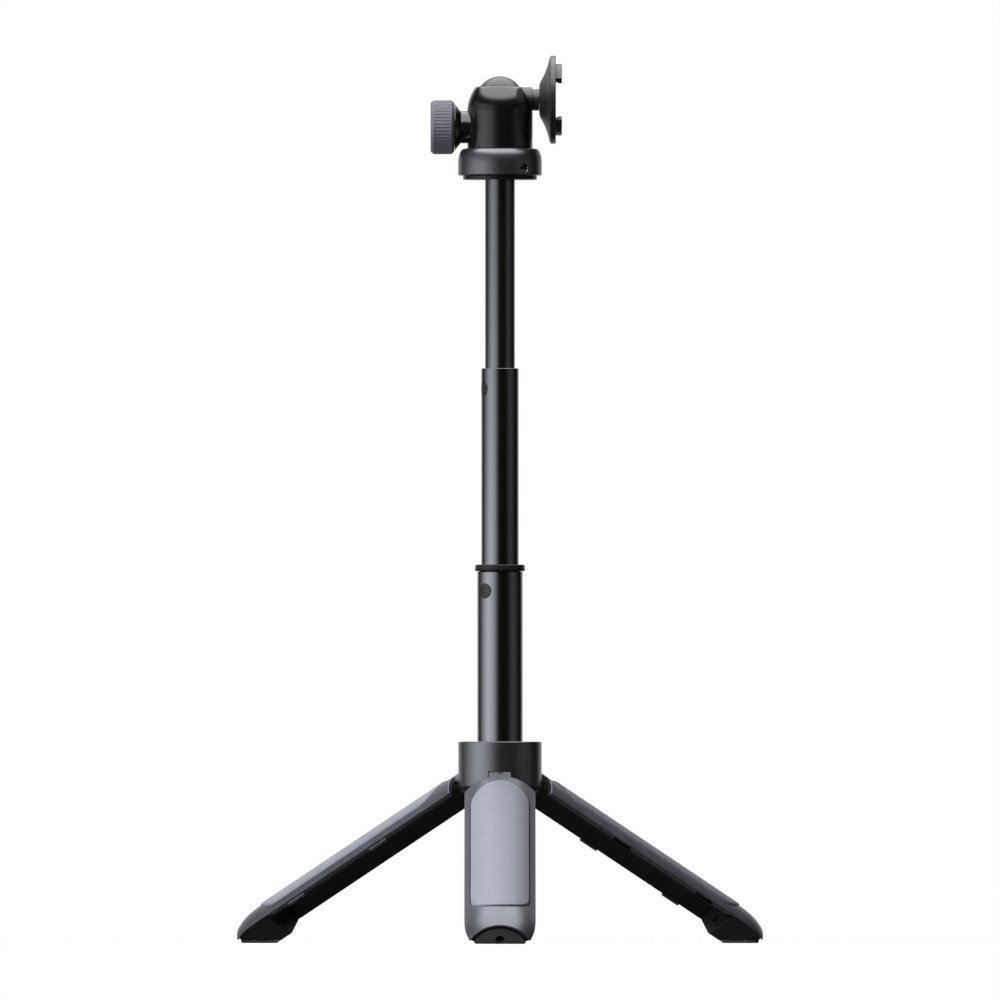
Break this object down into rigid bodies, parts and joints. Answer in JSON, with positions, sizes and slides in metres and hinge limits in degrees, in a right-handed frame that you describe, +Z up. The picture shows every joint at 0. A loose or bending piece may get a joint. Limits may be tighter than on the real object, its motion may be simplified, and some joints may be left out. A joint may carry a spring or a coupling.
{
  "type": "selfie stick",
  "caption": "Pocket tripod whose three folding legs close into a handle, with an extending three-tube pole, a lockable ball head and a round camera plate with two hooks.",
  "frame": {"origin": "on the ground, at the centre of the whole object's footprint box; the pole's axis is 22.6 mm towards +Y", "axes": "+Z up along the pole, -Y towards the front leg, +X towards the camera plate"},
  "size_m": [0.19, 0.1674, 0.3196],
  "materials": {
    "hub_polymer": "dark grey satin moulded plastic",
    "leg_shell": "mid grey satin moulded plastic",
    "soft_panel": "light lilac grey soft-touch coating",
    "black_liner": "black plastic, lightly glossy",
    "foot_plastic": "dark grey textured plastic",
    "foot_rubber": "grey rubber",
    "black_metal": "satin black anodised tube",
    "black_polymer": "black low-friction plastic",
    "head_metal": "semi-gloss black anodised aluminium",
    "knob_rubber": "grey soft-touch ribbed grip",
    "plate_metal": "dark grey satin aluminium",
    "steel": "plain steel"
  },
  "bodies": {
    "base": {"hub": "hub_polymer", "hub_bush": "black_polymer", "hinge_pin_front": "steel", "hinge_pin_right": "steel", "hinge_pin_left": "steel"},
    "leg_front": {"leg_shell_front": "leg_shell", "leg_panel_front": "soft_panel", "leg_liner_front": "black_liner", "foot_block_front": "foot_plastic", "foot_pad_front": "foot_rubber", "foot_screw_front": "steel"},
    "leg_right": {"leg_shell_right": "leg_shell", "leg_panel_right": "soft_panel", "leg_liner_right": "black_liner", "foot_block_right": "foot_plastic", "foot_pad_right": "foot_rubber", "foot_screw_right": "steel"},
    "leg_left": {"leg_shell_left": "leg_shell", "leg_panel_left": "soft_panel", "leg_liner_left": "black_liner", "foot_block_left": "foot_plastic", "foot_pad_left": "foot_rubber", "foot_screw_left": "steel"},
    "lower_section": {"lower_tube": "black_metal", "lower_mouth_bush": "black_polymer", "lower_collar": "black_polymer"},
    "middle_section": {"middle_tube": "black_metal", "middle_mouth_bush": "black_polymer", "middle_collar": "black_polymer"},
    "upper_section": {"upper_tube": "black_metal", "upper_collar": "black_polymer", "tube_plug": "steel", "base_disc": "black_polymer", "base_ring": "hub_polymer", "grub_screw": "steel", "pan_washer": "black_polymer", "pan_bolt": "steel"},
    "head": {"head_housing": "head_metal", "ball_cup": "black_polymer", "cup_spring": "steel"},
    "knob": {"knob_grip": "knob_rubber", "knob_core": "head_metal", "knob_cap": "black_liner", "clamp_screw": "steel"},
    "ball": {"ball_stem": "plate_metal"},
    "plate": {"camera_plate": "plate_metal", "hook_upper": "plate_metal", "hook_lower": "plate_metal", "magnet_front": "steel", "magnet_rear": "steel", "plate_screw": "steel"}
  },
  "joints": [
    {"name": "leg_front_hinge", "type": "hinge", "parent": "base", "child": "leg_front", "pos_m": [0, 0.01182, 0.0595], "axis": [-1, 0, 0], "range_deg": [-60, 0]},
    {"name": "leg_right_hinge", "type": "hinge", "parent": "base", "child": "leg_right", "pos_m": [0.00935, 0.02802, 0.0595], "axis": [0.5, -0.866, 0], "range_deg": [-60, 0]},
    {"name": "leg_left_hinge", "type": "hinge", "parent": "base", "child": "leg_left", "pos_m": [-0.00935, 0.02802, 0.0595], "axis": [0.5, 0.866, 0], "range_deg": [-60, 0]},
    {"name": "lower_slide", "type": "slide", "parent": "base", "child": "lower_section", "axis": [0, 0, 1], "range_m": [-0.0612, 0]},
    {"name": "middle_slide", "type": "slide", "parent": "lower_section", "child": "middle_section", "axis": [0, 0, 1], "range_m": [-0.068, 0]},
    {"name": "upper_slide", "type": "slide", "parent": "middle_section", "child": "upper_section", "axis": [0, 0, 1], "range_m": [-0.067, 0]},
    {"name": "head_pan", "type": "hinge", "parent": "upper_section", "child": "head", "pos_m": [0, 0.02262, 0.286], "axis": [0, 0, 1], "continuous": true},
    {"name": "knob_turn", "type": "hinge", "parent": "head", "child": "knob", "pos_m": [-0.02, 0.02262, 0.2938], "axis": [-1, 0, 0], "range_deg": [0, 270]},
    {"name": "ball_tilt", "type": "hinge", "parent": "head", "child": "ball", "pos_m": [0, 0.02262, 0.3037], "axis": [0, -1, 0], "range_deg": [0, 110]},
    {"name": "plate_spin", "type": "hinge", "parent": "ball", "child": "plate", "pos_m": [0.0141, 0.02262, 0.3037], "axis": [1, 0, 0], "continuous": true}
  ]
}
